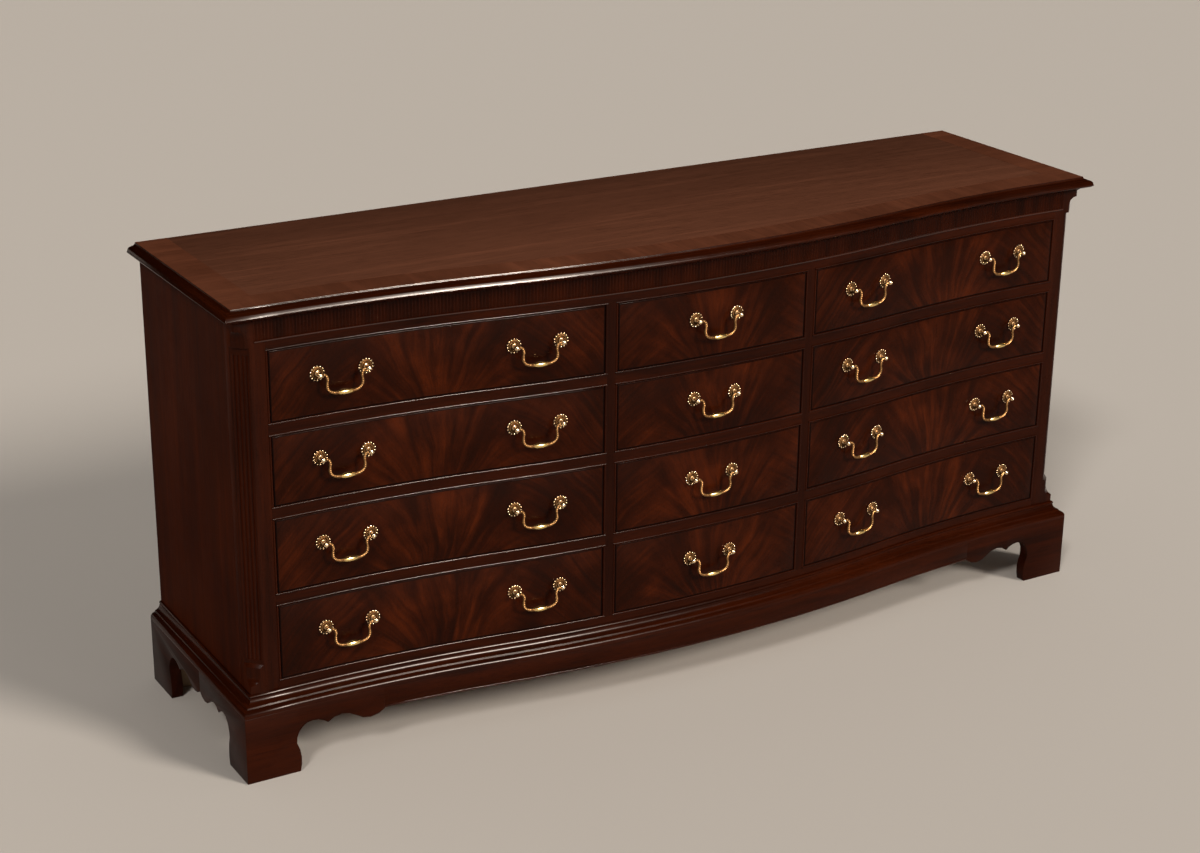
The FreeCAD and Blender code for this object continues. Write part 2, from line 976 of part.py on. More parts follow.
def front_foot(side):
    """Front and side wings, mitred at the corner, with the glue block behind them."""
    front_space, side_spaces = mitre_spaces(base_board)
    side_space = side_spaces[0] if side < 0 else side_spaces[1]
    x0, x1 = sorted((side * half_width, side * (half_width - foot_wing)))
    wing = band(0, base_board, x0, x1, 0, plinth_height)
    front_line = front_y_centre - overrun
    below = wing_outline(
        foot_wing,
        lambda along, z: point(side * (half_width - along), front_line, z),
    )
    wing = wing.cut(below.extrude(point(0, total_depth))).common(front_space)
    flank = side_wing(side, end_y, end_y + side_front_wing, side_front_wing, end_y)
    return [wing, flank.common(side_space), glue_block(side, end_y + base_board)]


def back_foot(side):
    """Side wing, with a bracket and a glue block behind it."""
    length = end_depth - side_front_wing
    inner = half_width - base_board
    low_back = plinth_height - back_rail_height
    y0 = back_y - base_board
    bracket = prism([
        point(side * inner, y0, 0),
        point(side * (inner - bracket_foot), y0, 0),
        point(side * (inner - bracket_width), y0, low_back),
        point(side * inner, y0, low_back),
    ], point(0, base_board))
    return [
        side_wing(side, back_y - length, back_y, length, back_y),
        bracket,
        glue_block(side, y0 - subrail_width),
    ]


# Writing the nodes

os.makedirs("parts", exist_ok=True)

write("top_board", [top_board()] + bed_moulding())
write("top_crossband", crossband())
write("frieze", frieze())
write("front_frame", front_frame())
write("cock_beads", cock_beads())
write("corner_post_right", [right_post()])
write("corner_post_left", [right_post().mirror(point(0, 0), point(1, 0))])
write("side_panels", side_panels())
write("back_panel", [back_panel()])
interior = partitions() + dust_boards() + drawer_guides() + drawer_stops() + kickers()
write("partitions_and_runners", interior)
write("base_moulding", base_moulding())
write("base_frame", apron() + base_rails())
for side, word in ((-1, "left"), (1, "right")):
    write("foot_front_" + word, front_foot(side))
    write("foot_back_" + word, back_foot(side))

bail_shape = bail()
for column in columns:
    for row in range(len(rows)):
        label = column + "_" + str(row + 1)
        write("drawer_" + label, drawer(column, row))
        write("handle_mounts_" + label, handle_mounts(column, row))
        places = handle_places(column, row)
        for index, (x, z) in enumerate(places):
            suffix = "" if len(places) == 1 else "_" + "ab"[index]
            write("bail_" + label + suffix, [on_curve(bail_shape, x, face_inset, z)])
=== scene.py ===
import json
import math

import bmesh
import bpy
from bpy.props import FloatProperty, FloatVectorProperty, IntProperty, PointerProperty
from mathutils import Matrix, Vector

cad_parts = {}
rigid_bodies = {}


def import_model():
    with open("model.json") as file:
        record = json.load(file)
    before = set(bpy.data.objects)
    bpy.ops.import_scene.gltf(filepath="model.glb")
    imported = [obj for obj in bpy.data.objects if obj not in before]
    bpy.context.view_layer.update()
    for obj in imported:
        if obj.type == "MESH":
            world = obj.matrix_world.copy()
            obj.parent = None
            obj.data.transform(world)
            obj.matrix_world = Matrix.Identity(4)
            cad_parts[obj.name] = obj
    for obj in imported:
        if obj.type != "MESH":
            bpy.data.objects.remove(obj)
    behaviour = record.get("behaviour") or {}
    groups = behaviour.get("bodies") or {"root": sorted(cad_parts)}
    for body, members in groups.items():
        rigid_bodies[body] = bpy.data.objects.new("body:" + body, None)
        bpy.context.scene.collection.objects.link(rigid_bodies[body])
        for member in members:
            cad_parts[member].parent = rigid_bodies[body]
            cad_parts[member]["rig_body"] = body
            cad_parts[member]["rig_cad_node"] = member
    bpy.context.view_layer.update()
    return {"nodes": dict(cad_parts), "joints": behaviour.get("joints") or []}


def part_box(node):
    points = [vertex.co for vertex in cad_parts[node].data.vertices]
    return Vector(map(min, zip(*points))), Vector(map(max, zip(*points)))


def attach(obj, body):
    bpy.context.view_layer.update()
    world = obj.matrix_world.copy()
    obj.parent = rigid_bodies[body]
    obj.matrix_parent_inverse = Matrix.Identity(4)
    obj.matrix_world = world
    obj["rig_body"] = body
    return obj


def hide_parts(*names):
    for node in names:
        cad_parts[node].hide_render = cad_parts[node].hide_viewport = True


bl_info = {
    "name": "Serpentine dresser",
    "version": (1, 0, 0),
    "blender": (4, 5, 0),
    "location": "3D View > Sidebar > Dresser",
    "description": "Rounded woodwork, figured veneers and cast brass handles for a serpentine dresser",
    "category": "Object",
}

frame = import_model()

MM = 0.001
COLUMNS = ("left", "centre", "right")
ROWS = (1, 2, 3, 4)
TOP_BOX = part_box("top_board")
POST_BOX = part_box("corner_post_right")
FRAME_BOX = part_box("front_frame")
FACE_INSET = TOP_BOX[1].x - POST_BOX[1].x
END_Y = POST_BOX[0].y - FACE_INSET
FRONT_RISE = END_Y - TOP_BOX[0].y
DRAWER_NAMES = [f"{column}_{row}" for column in COLUMNS for row in ROWS]
BEAD_THICKNESS = 3.5 * MM
BEAD_DEPTH = 40 * MM
CAST_CREASE = math.radians(50)
WHITE = (1.0, 1.0, 1.0)


# Settings that a user would change


class DresserPlan(bpy.types.PropertyGroup):
    """Plan of the serpentine front."""

    flat_end: FloatProperty(
        name="Flat end",
        description="Length of the straight part at each end of the front",
        default=0.102, unit="LENGTH", subtype="DISTANCE",
    )
    inflection_share: FloatProperty(
        name="Inflection",
        description="Where the bow turns into the hollow, as a share of the curved half",
        default=0.52347, min=0.1, max=0.9,
    )


class DresserWoodwork(bpy.types.PropertyGroup):
    """Rounding of the wooden edges."""

    ease: FloatProperty(
        name="Eased edge",
        description="Width taken off the sharp edges of the boards",
        default=0.0007, unit="LENGTH", subtype="DISTANCE",
    )
    fine_ease: FloatProperty(
        name="Fine eased edge",
        description="Width taken off the edges of mouldings and flutes",
        default=0.0004, unit="LENGTH", subtype="DISTANCE",
    )
    crease: FloatProperty(
        name="Crease",
        description="Edges sharper than this stay crisp, the rest shade as rounds",
        default=math.radians(36), subtype="ANGLE", unit="ROTATION",
    )
    bead_proud: FloatProperty(
        name="Bead stands proud",
        description="How far the cock beads stand out from the rails",
        default=0.0015, unit="LENGTH", subtype="DISTANCE",
    )
    bead_nose: FloatProperty(
        name="Bead nose",
        description="Rounding of the nose of a cock bead",
        default=0.0017, unit="LENGTH", subtype="DISTANCE",
    )
    bead_steps: IntProperty(
        name="Bead steps",
        description="Straight lengths in one curved cock bead",
        default=36, min=2,
    )


class DresserHandles(bpy.types.PropertyGroup):
    """Sizes of the cast bail handles."""

    boring: FloatProperty(
        name="Boring",
        description="Distance between the two posts of a handle",
        default=0.0889, unit="LENGTH", subtype="DISTANCE",
    )
    reach: FloatProperty(
        name="Reach",
        description="Distance of the bail's hinge from the drawer face",
        default=0.0155, unit="LENGTH", subtype="DISTANCE",
    )
    pearl_circle: FloatProperty(
        name="Pearl circle",
        description="Radius of the circle of pearls on a rosette",
        default=0.0125, unit="LENGTH", subtype="DISTANCE",
    )
    pearl: FloatProperty(
        name="Pearl",
        description="Radius of one pearl",
        default=0.0017, unit="LENGTH", subtype="DISTANCE",
    )
    pearl_count: IntProperty(
        name="Pearls", description="Pearls round a rosette", default=14, min=3
    )
    turning_steps: IntProperty(
        name="Turning steps",
        description="Faces round a turned rosette and post",
        default=28, min=8,
    )
    bore: FloatProperty(
        name="Bore",
        description="Radius of the hole in a post that takes the bail's pin",
        default=0.002, unit="LENGTH", subtype="DISTANCE",
    )
    nut: FloatProperty(
        name="Nut",
        description="Radius over the corners of the nut behind a drawer front",
        default=0.0046, unit="LENGTH", subtype="DISTANCE",
    )
    front_thickness: FloatProperty(
        name="Drawer front",
        description="Thickness of the drawer front that the handle's screws go through",
        default=0.020, unit="LENGTH", subtype="DISTANCE",
    )


class DresserColours(bpy.types.PropertyGroup):
    """Colours of the finishes."""

    shadow_brown: FloatVectorProperty(
        name="Shadow brown",
        description="Darkest tone of the polished mahogany",
        default=(0.012, 0.0024, 0.0007), subtype="COLOR", min=0, max=1,
    )
    red_brown: FloatVectorProperty(
        name="Red brown",
        description="Common tone of the polished mahogany",
        default=(0.034, 0.0054, 0.0009), subtype="COLOR", min=0, max=1,
    )
    flame: FloatVectorProperty(
        name="Flame",
        description="Light streaks of the figured drawer veneer",
        default=(0.066, 0.0105, 0.0016), subtype="COLOR", min=0, max=1,
    )
    top_brown: FloatVectorProperty(
        name="Top",
        description="Tone of the veneer in the middle of the top",
        default=(0.163, 0.058, 0.0305), subtype="COLOR", min=0, max=1,
    )
    band_brown: FloatVectorProperty(
        name="Crossband",
        description="Tone of the border of the top",
        default=(0.205, 0.066, 0.032), subtype="COLOR", min=0, max=1,
    )
    inner_wood: FloatVectorProperty(
        name="Inner wood",
        description="Tone of the unpolished wood inside",
        default=(0.42, 0.27, 0.15), subtype="COLOR", min=0, max=1,
    )
    brass: FloatVectorProperty(
        name="Brass",
        description="Rubbed high places of the brass",
        default=(0.93, 0.70, 0.43), subtype="COLOR", min=0, max=1,
    )
    cast: FloatVectorProperty(
        name="Cast brass",
        description="Brass as cast, not rubbed bright",
        default=(0.60, 0.34, 0.14), subtype="COLOR", min=0, max=1,
    )
    grip: FloatVectorProperty(
        name="Grip",
        description="Polished middle of a bail",
        default=(0.90, 0.66, 0.27), subtype="COLOR", min=0, max=1,
    )
    patina: FloatVectorProperty(
        name="Patina",
        description="Darkened hollows of the brass",
        default=(0.05, 0.018, 0.005), subtype="COLOR", min=0, max=1,
    )


class DresserStudio(bpy.types.PropertyGroup):
    """Camera, floor and lamps."""

    focal_length: FloatProperty(
        name="Focal length",
        description="Lens of the camera in millimetres",
        default=68.5, min=10,
    )
    camera_place: FloatVectorProperty(
        name="Camera",
        description="Place of the camera",
        default=(-2.210, -3.554, 2.021), subtype="TRANSLATION", unit="LENGTH",
    )
    azimuth: FloatProperty(
        name="Azimuth",
        description="Turn of the view round the dresser",
        default=math.radians(-30.70), subtype="ANGLE", unit="ROTATION",
    )
    elevation: FloatProperty(
        name="Elevation",
        description="How far the camera looks down",
        default=math.radians(20.75), subtype="ANGLE", unit="ROTATION",
    )
    roll: FloatProperty(
        name="Roll",
        description="Tilt of the camera about its own line of sight",
        default=math.radians(0.635), subtype="ANGLE", unit="ROTATION",
    )
    floor: FloatVectorProperty(
        name="Floor",
        description="Colour of the floor",
        default=(0.64, 0.585, 0.53), subtype="COLOR", min=0, max=1,
    )
    sky: FloatProperty(
        name="Room light",
        description="Strength of the even light from all round",
        default=0.2, min=0,
    )
    key: FloatProperty(
        name="Key lamp", description="Strength of the lamp in front", default=2.3, min=0
    )
    glint: FloatProperty(
        name="Glint lamp", description="Strength of the lamp that only gives shine", default=7.0, min=0
    )
    fill: FloatProperty(
        name="Fill lamp", description="Strength of the lamp on the left", default=1.1, min=0
    )


# Working with the selection


def select_only(*pieces):
    if bpy.context.object and bpy.context.object.mode != "OBJECT":
        bpy.ops.object.mode_set(mode="OBJECT")
    bpy.ops.object.select_all(action="DESELECT")
    for piece in pieces:
        piece.select_set(True)
    bpy.context.view_layer.objects.active = pieces[0]


def edit(piece):
    select_only(piece)
    bpy.ops.object.mode_set(mode="EDIT")
    bpy.ops.mesh.select_mode(type="VERT")


def leave():
    bpy.ops.object.mode_set(mode="OBJECT")


def new_piece(name):
    piece = bpy.context.active_object
    piece.name = name
    piece.data.name = name
    return piece


def duplicate(piece, name):
    select_only(piece)
    bpy.ops.object.duplicate()
    return new_piece(name)


def join(name, pieces):
    select_only(*pieces)
    if len(pieces) > 1:
        bpy.ops.object.join()
    return new_piece(name)


def settle(piece):
    """Put the piece's place into its mesh."""
    select_only(piece)
    bpy.ops.object.transform_apply(location=True, rotation=True, scale=True)


def apply_modifier(piece, kind, **settings):
    select_only(piece)
    bpy.ops.object.modifier_add(type=kind)
    modifier = piece.modifiers[-1]
    for key, value in settings.items():
        setattr(modifier, key, value)
    bpy.ops.object.modifier_apply(modifier=modifier.name)


def smooth(piece, angle):
    select_only(piece)
    bpy.ops.object.shade_smooth_by_angle(angle=angle)


def discard(*pieces):
    for piece in pieces:
        bpy.data.objects.remove(piece)


# Front curve


def front_y(x, inset):
    """Y of the front curve at x, set back by inset."""
    plan = bpy.context.scene.dresser_plan
    half_span = TOP_BOX[1].x - plan.flat_end
    turn = 2 * math.atan(FRONT_RISE / half_span)
    bow = half_span * plan.inflection_share / math.sin(turn)
    hollow = half_span * (1 - plan.inflection_share) / math.sin(turn)
    across = abs(x)
    joint = half_span - (hollow + inset) * math.sin(turn)
    if across <= joint:
        return END_Y - FRONT_RISE + bow - math.sqrt((bow - inset) ** 2 - across**2)
    if across <= half_span:
        return END_Y - hollow + math.sqrt((hollow + inset) ** 2 - (half_span - across) ** 2)
    return END_Y + inset


# Materials


def material_tree(name):
    material = bpy.data.materials.new(name)
    material.use_nodes = True
    return material.node_tree


def add_node(tree, kind, settings=None, **inputs):
    """New node; an input is a number, a colour or another node's socket."""
    node = tree.nodes.new("ShaderNode" + kind)
    for key, value in (settings or {}).items():
        setattr(node, key, value)
    for key, value in inputs.items():
        socket = node.inputs[int(key[1:]) if key[0] == "_" else key.replace("_", " ")]
        if isinstance(value, bpy.types.NodeSocket):
            tree.links.new(value, socket)
        else:
            socket.default_value = value
    return node


def maths(tree, operation, *values):
    inputs = {f"_{index}": value for index, value in enumerate(values)}
    return add_node(tree, "Math", {"operation": operation}, **inputs).outputs[0]


def ramp(tree, factor, stops):
    node = add_node(tree, "ValToRGB", None, Fac=factor)
    elements = node.color_ramp.elements
    while len(elements) < len(stops):
        elements.new(0.5)
    for element, (place, colour) in zip(elements, stops):
        element.position = place
        element.color = (*colour, 1)
    return node.outputs["Color"]


def scaled(colour, factor):
    return tuple(min(1.0, channel * factor) for channel in colour)


def mix_colour(tree, blend, factor, first, second):
    """Mix of two colours; the node has its colours at inputs 6 and 7 and at output 2."""

    def with_alpha(value):
        return value if isinstance(value, bpy.types.NodeSocket) else (*value, 1)

    settings = {"data_type": "RGBA", "blend_type": blend}
    colours = {"_6": with_alpha(first), "_7": with_alpha(second)}
    return add_node(tree, "Mix", settings, _0=factor, **colours).outputs[2]


def object_place(tree):
    return add_node(tree, "TexCoord").outputs["Object"]


def stretched(tree, place, scale, shift=(0, 0, 0)):
    return add_node(tree, "Mapping", None, Vector=place, Location=shift, Scale=scale).outputs[0]


def noise(tree, place, scale, detail, roughness=0.5, distortion=0.0):
    settings = {"Scale": scale, "Detail": detail, "Roughness": roughness, "Distortion": distortion}
    return add_node(tree, "TexNoise", None, Vector=place, **settings).outputs["Fac"]


def from_range(tree, value, start, end, low=0.0, high=1.0, kind="LINEAR"):
    """Turn the range from start to end into the range from low to high."""
    node = add_node(
        tree, "MapRange", {"interpolation_type": kind},
        Value=value, From_Min=start, From_Max=end, To_Min=low, To_Max=high,
    )
    return node.outputs["Result"]


def surface(tree, tone, rough, bump=None, **values):
    """Join colour, roughness and bump to the shader and set its other inputs."""
    shader = tree.nodes["Principled BSDF"]
    tree.links.new(tone, shader.inputs["Base Color"])
    tree.links.new(rough, shader.inputs["Roughness"])
    if bump:
        tree.links.new(bump.outputs["Normal"], shader.inputs["Normal"])
    for key, value in values.items():
        shader.inputs[key.replace("_", " ")].default_value = value


def finish_wood(tree, tone, pores, gloss, polish, relief):
    """Lacquer over a wood colour; the pores sink into it."""
    smoother, rougher = 0.05, 0.09
    pore_depth = 0.4 * MM
    rub = noise(tree, object_place(tree), scale=23.0, detail=4.0, roughness=0.6)
    rough = from_range(tree, rub, 0.0, 1.0, gloss - smoother, gloss + rougher)
    bump = add_node(tree, "Bump", None, Strength=relief, Distance=pore_depth, Height=pores)
    surface(tree, tone, rough, bump, Specular_IOR_Level=polish)


def straight_wood(name, dark, light, grain, gloss, polish, relief=0.1, shift=0.0, mottle=0.75):
    """Straight-grained wood; grain is the axis that it runs along."""
    along, across = 1.6, 42.0
    pore_share, pore_strength = 14, 0.6
    cloud_shade, pore_shade = (0.62, 0.58, 0.56), (0.45, 0.42, 0.4)
    tree = material_tree(name)
    place = object_place(tree)
    stretch = [along if axis == grain else across for axis in "XYZ"]
    coarse = stretched(tree, place, stretch, (shift, shift, shift))
    fine = stretched(tree, place, [value * pore_share for value in stretch])
    figure = noise(tree, coarse, scale=1.0, detail=7.0, roughness=0.62, distortion=0.35)
    pores = noise(tree, fine, scale=1.0, detail=3.0, roughness=0.7)
    clouds = noise(tree, place, scale=4.5, detail=3.0)
    tone = ramp(tree, figure, [(0.28, dark), (0.5, scaled(light, 0.72)), (0.72, light)])
    cloud_tone = ramp(tree, clouds, [(0.3, cloud_shade), (0.7, WHITE)])
    pore_tone = ramp(tree, pores, [(0.36, pore_shade), (0.5, WHITE)])
    tone = mix_colour(tree, "MULTIPLY", mottle, tone, cloud_tone)
    tone = mix_colour(tree, "MULTIPLY", pore_strength, tone, pore_tone)
    finish_wood(tree, tone, pores, gloss, polish, relief)


def streaks(tree, across, across_scale, along, along_scale, seed, swirl):
    """Streaky noise in a plane of its own, which the seed picks."""
    spot = add_node(
        tree, "CombineXYZ", None, Z=seed,
        X=maths(tree, "MULTIPLY", across, across_scale),
        Y=maths(tree, "MULTIPLY", along, along_scale),
    )
    return noise(tree, spot.outputs[0], scale=1.0, detail=5.0, roughness=0.62, distortion=swirl)


def flame_wood(name, low, high, heart, seed):
    """Crotch veneer: streaks fan up from the middle of the foot and fall away at the sides; the rim of the
    front has a painted shade.
    """
    colours = bpy.context.scene.dresser_colours
    sway_width, foot_drop = 0.05, 0.085
    fan_opening, arch_fall = 2.4, 2.1
    fan_end, arch_start = 0.07, 0.21
    arch_seed = 3.7
    pore_strength, pore_shade = 0.5, (0.55, 0.5, 0.48)
    painted_shade_end, painted_shade_fade_end = 1.4 * MM, 2.9 * MM
    centre_x = low.x + (high.x - low.x) * heart
    tree = material_tree(name)
    place = object_place(tree)
    split = add_node(tree, "SeparateXYZ", None, Vector=place)
    drift = noise(tree, place, scale=7.0, detail=2.0)
    sway = maths(tree, "MULTIPLY_ADD", drift, sway_width, -sway_width / 2 - centre_x)
    across = maths(tree, "ADD", split.outputs["X"], sway)
    rise = maths(tree, "ADD", split.outputs["Z"], foot_drop - low.z)
    square = maths(tree, "MULTIPLY", across, across)
    fan = maths(tree, "DIVIDE", across, maths(tree, "MULTIPLY_ADD", square, fan_opening, rise))
    arch = maths(tree, "MULTIPLY_ADD", square, arch_fall, rise)
    fan_streaks = streaks(tree, fan, 9.0, rise, 6.0, seed, swirl=0.45)
    arch_streaks = streaks(tree, across, 7.0, arch, 70.0, seed + arch_seed, swirl=0.5)
    sideways = from_range(tree, maths(tree, "ABSOLUTE", across), fan_end, arch_start, kind="SMOOTHSTEP")
    fan_value = maths(tree, "ADD", fan_streaks, 0.045)
    arch_value = maths(tree, "MULTIPLY_ADD", arch_streaks, 0.72, 0.115)
    blend = add_node(tree, "Mix", {"data_type": "FLOAT"}, _0=sideways, _2=fan_value, _3=arch_value)
    glow = noise(tree, place, scale=10.0, detail=3.0, roughness=0.55)
    value = maths(tree, "MULTIPLY_ADD", glow, 0.5, maths(tree, "MULTIPLY", blend.outputs[0], 0.65))
    tone = ramp(tree, value, [
        (0.42, colours.shadow_brown),
        (0.54, scaled(colours.red_brown, 0.58)),
        (0.63, colours.red_brown),
        (0.77, colours.flame),
    ])
    pores = noise(tree, stretched(tree, place, (900.0, 900.0, 160.0)), scale=1.0, detail=2.0)
    pore_tone = ramp(tree, pores, [(0.34, pore_shade), (0.48, WHITE)])
    tone = mix_colour(tree, "MULTIPLY", pore_strength, tone, pore_tone)
    # Painted shade: within a few millimetres of the front's edges the colour goes nearly black, standing
    # in for the shadow in the gap round the drawer.
    margin = None
    for axis, near, far in (("X", low.x, high.x), ("Z", low.z, high.z)):
        half = (far - near) / 2
        off_centre = maths(tree, "ABSOLUTE", maths(tree, "SUBTRACT", split.outputs[axis], near + half))
        inside = maths(tree, "SUBTRACT", half, off_centre)
        margin = inside if margin is None else maths(tree, "MINIMUM", margin, inside)
    edge = from_range(tree, margin, painted_shade_end, painted_shade_fade_end, kind="SMOOTHSTEP")
    tone = mix_colour(tree, "MIX", edge, scaled(colours.shadow_brown, 0.3), tone)
    finish_wood(tree, tone, pores, gloss=0.26, polish=0.05, relief=0.1)


def brass_material(name, rubbed, bright):
    """Antiqued brass: bright where it is rubbed and brown in its hollows."""
    colours = bpy.context.scene.dresser_colours
    hollow_width, hollow_depth = 4 * MM, 3.6
    stain_strength = 0.9
    grit_height = 0.2 * MM
    tree = material_tree(name)
    place = object_place(tree)
    stain = noise(tree, place, scale=320.0, detail=5.0, roughness=0.65)
    hollow = add_node(tree, "AmbientOcclusion", {"samples": 6}, Distance=hollow_width)
    open_share = maths(tree, "POWER", hollow.outputs["AO"], hollow_depth)
    wear = maths(tree, "MULTIPLY_ADD", stain, stain_strength, rubbed)
    shine = maths(tree, "MINIMUM", maths(tree, "MULTIPLY", open_share, wear), 1.0)
    tone = mix_colour(tree, "MIX", shine, colours.patina, bright)
    rough = from_range(tree, shine, 0.2, 1.0, 0.55, 0.22)
    grit = noise(tree, place, scale=1400.0, detail=3.0)
    bump = add_node(tree, "Bump", None, Strength=0.15, Distance=grit_height, Height=grit)
    surface(tree, tone, rough, bump, Metallic=1.0)


def steel_material(name):
    """Dull steel with light wear."""
    tree = material_tree(name)
    wear = noise(tree, object_place(tree), scale=600.0, detail=4.0)
    tone = ramp(tree, wear, [(0.3, (0.28, 0.27, 0.25)), (0.7, (0.55, 0.53, 0.48))])
    surface(tree, tone, from_range(tree, wear, 0.0, 1.0, 0.3, 0.5), Metallic=1.0)


def coat(piece, *names):
    """Give the piece these materials in place of its own."""
    piece.data.materials.clear()
    for name in names:
        piece.data.materials.append(bpy.data.materials[name])


def paint(piece, names, choose):
    """Give each face one of the materials; choose(solid, normal, centre) tells which."""
    coat(piece, *names)
    solids = piece.data.attributes["solid"].data
    for face in piece.data.polygons:
        face.material_index = choose(solids[face.index].value, face.normal, face.center)


# Wooden pieces made from the frame's own solids


def number_solids(mesh):
    """Number the triangles by solid: a solid ends where its shell has closed."""
    numbers = []
    open_edges = set()
    number = 0
    places = [tuple(round(c, 6) for c in vertex.co) for vertex in mesh.vertices]
    for face in mesh.polygons:
        corners = [places[index] for index in face.vertices]
        for index in range(len(corners)):
            open_edges ^= {frozenset((corners[index - 1], corners[index]))}
        numbers.append(number)
        if not open_edges:
            number += 1
    mesh.attributes.new("solid", "INT", "FACE").data.foreach_set("value", numbers)
    return number


def eased_copy(node, name, body, ease):
    """Copy of a node with its edges eased, which stands for the node."""
    woodwork = bpy.context.scene.dresser_woodwork
    weld, flatness = 0.01 * MM, math.radians(0.2)
    piece = duplicate(frame["nodes"][node], name)
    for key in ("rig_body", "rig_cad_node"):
        del piece[key]
    bpy.ops.object.parent_clear(type="CLEAR_KEEP_TRANSFORM")
    bpy.ops.mesh.customdata_custom_splitnormals_clear()
    count = number_solids(piece.data)
    edit(piece)
    for number in range(count):
        shell = bmesh.from_edit_mesh(piece.data)
        layer = shell.faces.layers.int["solid"]
        bpy.ops.mesh.select_all(action="DESELECT")
        for face in shell.faces:
            if face[layer] == number:
                face.select_set(True)
        bmesh.update_edit_mesh(piece.data)
        bpy.ops.mesh.remove_doubles(threshold=weld)
    bpy.ops.mesh.select_all(action="SELECT")
    bpy.ops.mesh.dissolve_limited(angle_limit=flatness)
    leave()
    if ease:
        apply_modifier(
            piece, "BEVEL", width=ease, segments=2, limit_method="ANGLE",
            angle_limit=woodwork.crease, use_clamp_overlap=False,
        )
    smooth(piece, woodwork.crease)
    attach(piece, body)
    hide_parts(node)
    return piece


class DRESSER_OT_finishes(bpy.types.Operator):
    """Make the woods, the brass and the steel"""

    bl_idname = "dresser.finishes"
    bl_label = "Finishes"

    def execute(self, context):
        colours = context.scene.dresser_colours
        dark, red = colours.shadow_brown, colours.red_brown
        # name, grains, factors of the dark and red tones, then roughness, shine and relief
        polished = (
            ("mahogany", "XY", 1.1, 1.2, (0.3, 0.05, 0.1)),
            ("mahogany", "Z", 1.1, 0.8, (0.3, 0.05, 0.1)),
            ("moulding", "XYZ", 1.2, 1.3, (0.2, 0.075, 0.01)),
            ("bead", "X", 1.2, 1.2, (0.18, 0.16, 0.01)),
            # arris: a lighter, glossier copy of the moulding finish for faces that slope towards the
            # lamps; its lighter tone is a painted highlight.
            ("arris", "X", 1.3, 1.6, (0.18, 0.5, 0.01)),
            ("carved", "Z", 1.2, 1.15, (0.26, 0.06, 0.03)),
        )
        for name, grains, shadow, light, lacquer in polished:
            for grain in grains:
                tones = scaled(dark, shadow), scaled(red, light)
                straight_wood(f"{name}_{grain.lower()}", *tones, grain, *lacquer)
        inner, band, top = colours.inner_wood, colours.band_brown, colours.top_brown
        for grain in "XYZ":
            straight_wood("inner_wood_" + grain.lower(), scaled(inner, 0.6), inner, grain, 0.5, 0.25)
        for grain in "XY":
            straight_wood("crossband_" + grain.lower(), scaled(band, 0.65), band, grain, 0.32, 0.055, 0.06)
        straight_wood("top_veneer", scaled(top, 0.78), top, "X", 0.3, 0.07, 0.06, shift=2.3, mottle=0.18)
        # Sides: a lighter copy of the mahogany, painted light that makes up for the weaker lamp light on
        # the sides.
        straight_wood("side_veneer_painted_light", scaled(dark, 2.8), scaled(red, 2.0), "Z", 0.38, 0.005)
        straight_wood("back_board", (0.10, 0.055, 0.03), (0.2, 0.12, 0.07), "Z", 0.6, 0.2)
        brass_material("cast_brass", 0.1, colours.cast)
        brass_material("rubbed_brass", 0.7, colours.brass)
        brass_material("grip_brass", 0.8, colours.grip)
        steel_material("steel")
        return {"FINISHED"}


class DRESSER_OT_top(bpy.types.Operator):
    """Top board with its moulded edge, and the crossbanded border"""

    bl_idname = "dresser.top"
    bl_label = "Top"

    def execute(self, context):
        woodwork = context.scene.dresser_woodwork
        top = eased_copy("top_board", "moulded_top", "case", woodwork.fine_ease)
        veneer, lip_thickness = 0.5 * MM, 18 * MM
        field_z, lip_z = TOP_BOX[1].z - veneer, TOP_BOX[1].z - lip_thickness
        cove_low, cove_high = lip_z + 5 * MM, lip_z + 12 * MM

        def choose(solid, normal, centre):
            if centre.z > field_z:
                return 0
            if abs(normal.x) > abs(normal.y):
                return 2
            # Faces that slope up towards the lamps, outside the cove, take the arris finish: a painted
            # highlight along the edge.
            slopes_up = 0.25 < normal.z < 0.85
            return 3 if slopes_up and not cove_low < centre.z < cove_high else 1

        paint(top, ["top_veneer", "moulding_x", "moulding_y", "arris_x"], choose)
        band = eased_copy("top_crossband", "top_border", "case", 0)
        self.round_outer_arris(band)
        smooth(band, woodwork.crease)

        def choose_band(solid, normal, centre):
            if normal.z > 0.99:
                return min(solid, 1)
            # Walls turned to the front or back, with the rounded outer arris, take the arris finish: a
            # painted highlight.
            return 3 if abs(normal.x) > abs(normal.y) else 2

        paint(band, ["crossband_y", "crossband_x", "arris_x", "moulding_y"], choose_band)
        return {"FINISHED"}

    def round_outer_arris(self, band):
        """Round the upper edges that lie along the front and the two ends."""
        rounding = 0.7 * MM
        front_limit, end_limit = -0.15, 0.88
        edit(band)
        bpy.ops.mesh.select_all(action="DESELECT")
        shell = bmesh.from_edit_mesh(band.data)
        for line in shell.edges:
            faces = line.link_faces
            if len(faces) == 2 and max(face.normal.z for face in faces) > 0.9:
                wall = min(faces, key=lambda face: abs(face.normal.z))
                middle = wall.calc_center_median()
                front = wall.normal.y < -0.8 and middle.y < front_limit
                outward = wall.normal.x * middle.x > 0
                end = abs(wall.normal.x) > 0.9 and outward and abs(middle.x) > end_limit
                line.select_set(abs(wall.normal.z) < 0.1 and (front or end))
        bmesh.update_edit_mesh(band.data)
        bpy.ops.mesh.bevel(offset=rounding, segments=3, affect="EDGES")
        leave()


